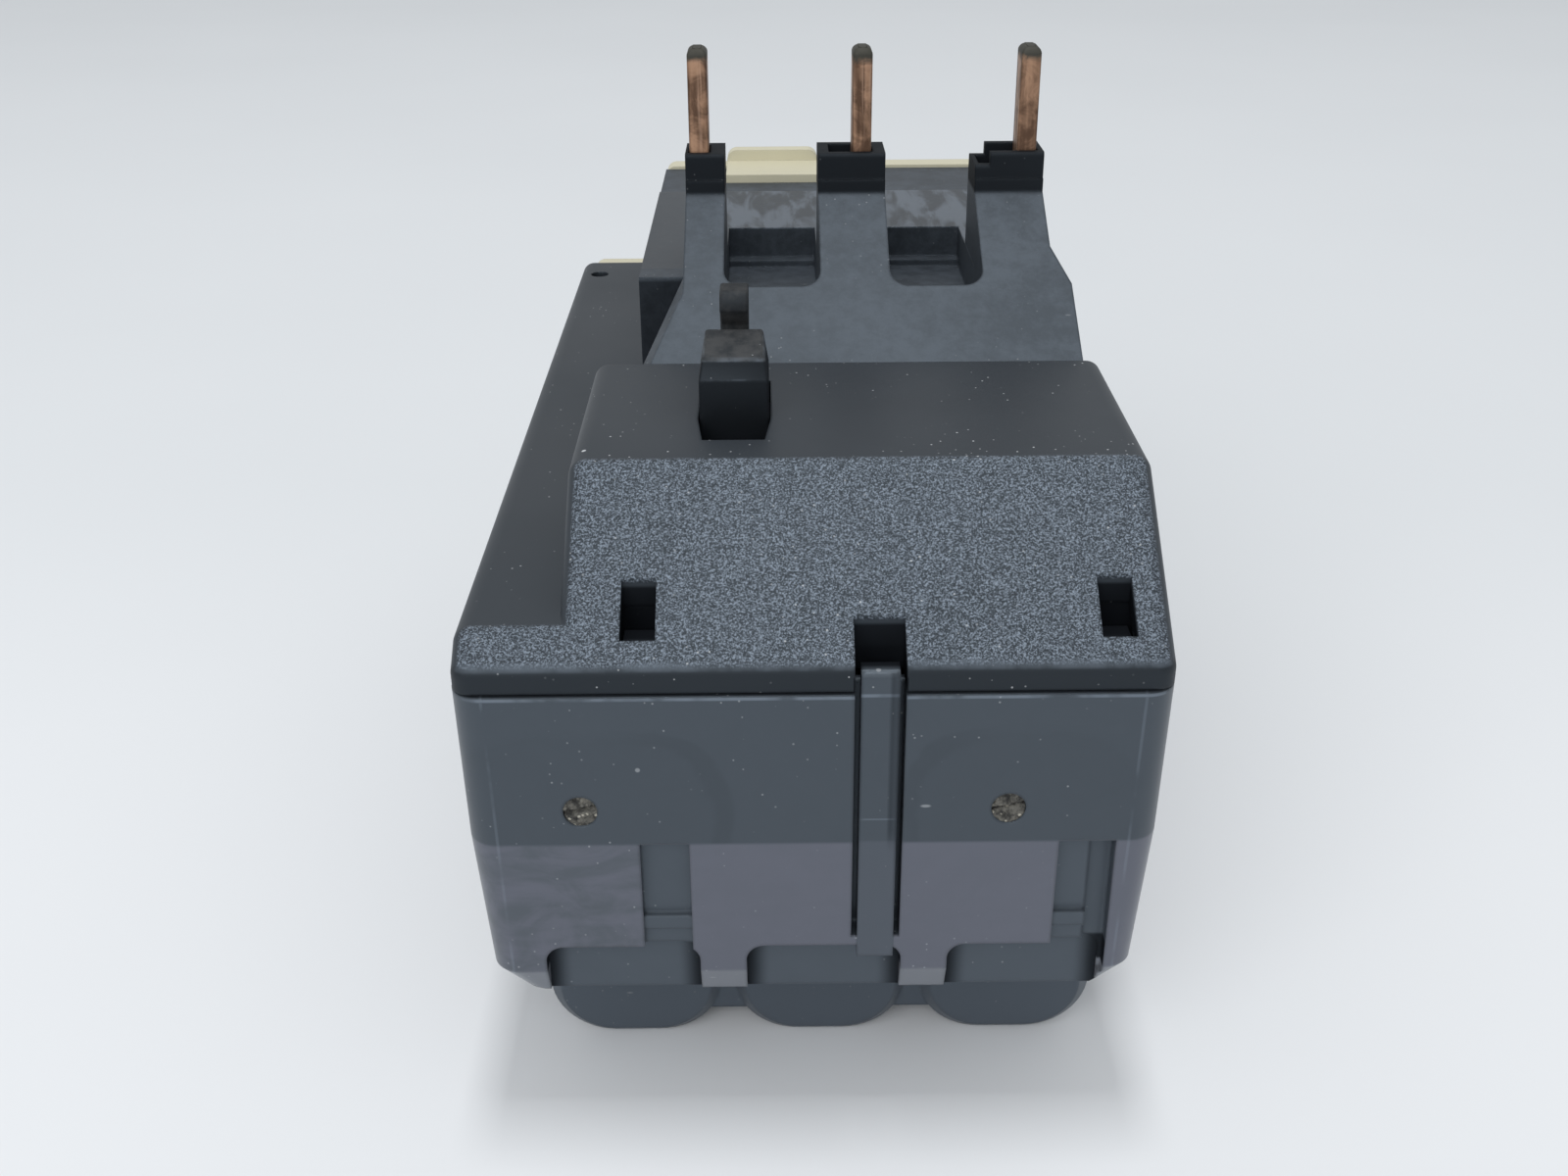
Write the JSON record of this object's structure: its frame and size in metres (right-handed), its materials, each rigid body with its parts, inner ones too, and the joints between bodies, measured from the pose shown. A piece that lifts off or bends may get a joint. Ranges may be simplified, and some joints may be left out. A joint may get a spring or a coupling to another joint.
{
  "type": "thermal overload relay",
  "caption": "Plug-in thermal overload relay for a motor contactor, with copper pins, current dial, reset and stop buttons, screw terminals and a bimetal trip mechanism.",
  "frame": {"origin": "centre of the box's base, on the surface that the cable shrouds stand on", "axes": "+X to the right seen from the front plate, -Y out of the front plate, +Z along the plug-in pins"},
  "size_m": [0.045, 0.0888, 0.0636],
  "materials": {
    "housing_black": "semi-matt moulded",
    "plate_cream": "satin moulded",
    "clear_plastic": "clear moulded plastic",
    "steel": "zinc plated",
    "dial_white": "satin moulded",
    "inner_plastic": "natural moulded",
    "button_red": "satin moulded",
    "button_blue": "satin moulded",
    "flag_orange": "satin moulded",
    "copper": "bare copper, slightly tarnished",
    "bimetal": "rolled strip",
    "heater": "resistance wire",
    "glass_sleeve": "woven glass sleeve",
    "contact_brass": "stamped strip",
    "sealant": "crumbly sealing compound"
  },
  "bodies": {
    "housing": {"base_housing": "housing_black", "rear_cover": "housing_black", "pin_carrier": "housing_black", "contactor_hook": "housing_black", "front_plate": "plate_cream", "hinge_pin": "steel", "power_clamp_saddles": "steel", "power_terminal_screws": "steel", "control_clamp_washers": "steel", "control_terminal_screws": "steel", "calibration_screws": "steel", "stop_spring": "steel", "reset_spring": "steel", "plug_pin_right": "copper", "output_strap_left": "copper", "output_strap_middle": "copper", "output_strap_right": "copper", "bimetal_strip_left": "bimetal", "bimetal_strip_middle": "bimetal", "bimetal_strip_right": "bimetal", "heater_winding_left": "heater", "heater_winding_middle": "heater", "heater_winding_right": "heater", "insulating_sleeves": "glass_sleeve", "nc_terminal_outer": "contact_brass", "nc_terminal_inner": "contact_brass", "no_terminal_inner": "contact_brass", "no_terminal_outer": "contact_brass", "sealing_plugs": "sealant"},
    "pin_middle": {"plug_pin_middle": "copper"},
    "pin_left": {"plug_pin_left": "copper"},
    "dial": {"setting_dial": "dial_white", "dial_cam": "inner_plastic"},
    "stop": {"stop_button": "button_red"},
    "reset": {"reset_button": "button_blue"},
    "cover": {"clear_cover": "clear_plastic"},
    "trip_slider": {"trip_slide": "inner_plastic"},
    "differential_slider": {"differential_slide": "inner_plastic"},
    "differential_arm": {"differential_lever": "inner_plastic"},
    "trip_arm": {"trip_lever": "inner_plastic", "compensation_strip": "bimetal"},
    "carriage": {"contact_carriage": "inner_plastic", "nc_contact_bridge": "contact_brass", "no_contact_bridge": "contact_brass", "snap_spring": "steel"},
    "flag": {"trip_flag": "flag_orange"}
  },
  "joints": [
    {"name": "pin_middle_shift", "type": "slide", "parent": "housing", "child": "pin_middle", "axis": [1, 0, 0], "range_m": [0, 0.0018]},
    {"name": "pin_left_shift", "type": "slide", "parent": "housing", "child": "pin_left", "axis": [1, 0, 0], "range_m": [0, 0.003]},
    {"name": "dial_turn", "type": "hinge", "parent": "housing", "child": "dial", "pos_m": [-0.01, -0.0356, 0.0403], "axis": [0, -1, 0], "range_deg": [-135, 135]},
    {"name": "stop_press", "type": "slide", "parent": "housing", "child": "stop", "axis": [0, 1, 0], "range_m": [0, 0.002], "stiffness_N_per_m": 250, "springref_m": -0.002, "deforming": ["stop_spring"]},
    {"name": "reset_press", "type": "slide", "parent": "housing", "child": "reset", "axis": [0, 1, 0], "range_m": [0, 0.0028], "stiffness_N_per_m": 200, "springref_m": -0.002, "deforming": ["reset_spring"]},
    {"name": "cover_swing", "type": "hinge", "parent": "housing", "child": "cover", "pos_m": [-0.0193, -0.04345, 0.0403], "axis": [0, 0, 1], "range_deg": [-110, 0]},
    {"name": "trip_slide_move", "type": "slide", "parent": "housing", "child": "trip_slider", "axis": [1, 0, 0], "range_m": [0, 0.001], "stiffness_N_per_m": 200, "springref_m": -0.001},
    {"name": "differential_slide_move", "type": "slide", "parent": "housing", "child": "differential_slider", "axis": [1, 0, 0], "range_m": [0, 0.0005]},
    {"name": "differential_lever_turn", "type": "hinge", "parent": "trip_slider", "child": "differential_arm", "pos_m": [0.0015, -0.0121, 0.0402], "axis": [0, 0, 1], "range_deg": [0, 5.8]},
    {"name": "trip_lever_turn", "type": "hinge", "parent": "housing", "child": "trip_arm", "pos_m": [0.0091, -0.0256, 0.0335], "axis": [0, 0, 1], "range_deg": [-8.2, 0]},
    {"name": "carriage_move", "type": "slide", "parent": "housing", "child": "carriage", "axis": [0, 1, 0], "range_m": [0, 0.0013]},
    {"name": "trip_flag_move", "type": "slide", "parent": "housing", "child": "flag", "axis": [1, 0, 0], "range_m": [0, 0.003]}
  ],
  "couplings": [
    {"joint": "differential_slide_move", "follows": "trip_slide_move", "ratio": 0.5},
    {"joint": "differential_lever_turn", "follows": "trip_slide_move", "rad_per_m": 100},
    {"joint": "trip_lever_turn", "follows": "trip_slide_move", "rad_per_m": -142},
    {"joint": "carriage_move", "follows": "trip_slide_move", "ratio": 1.3},
    {"joint": "trip_flag_move", "follows": "trip_slide_move", "ratio": 3}
  ]
}
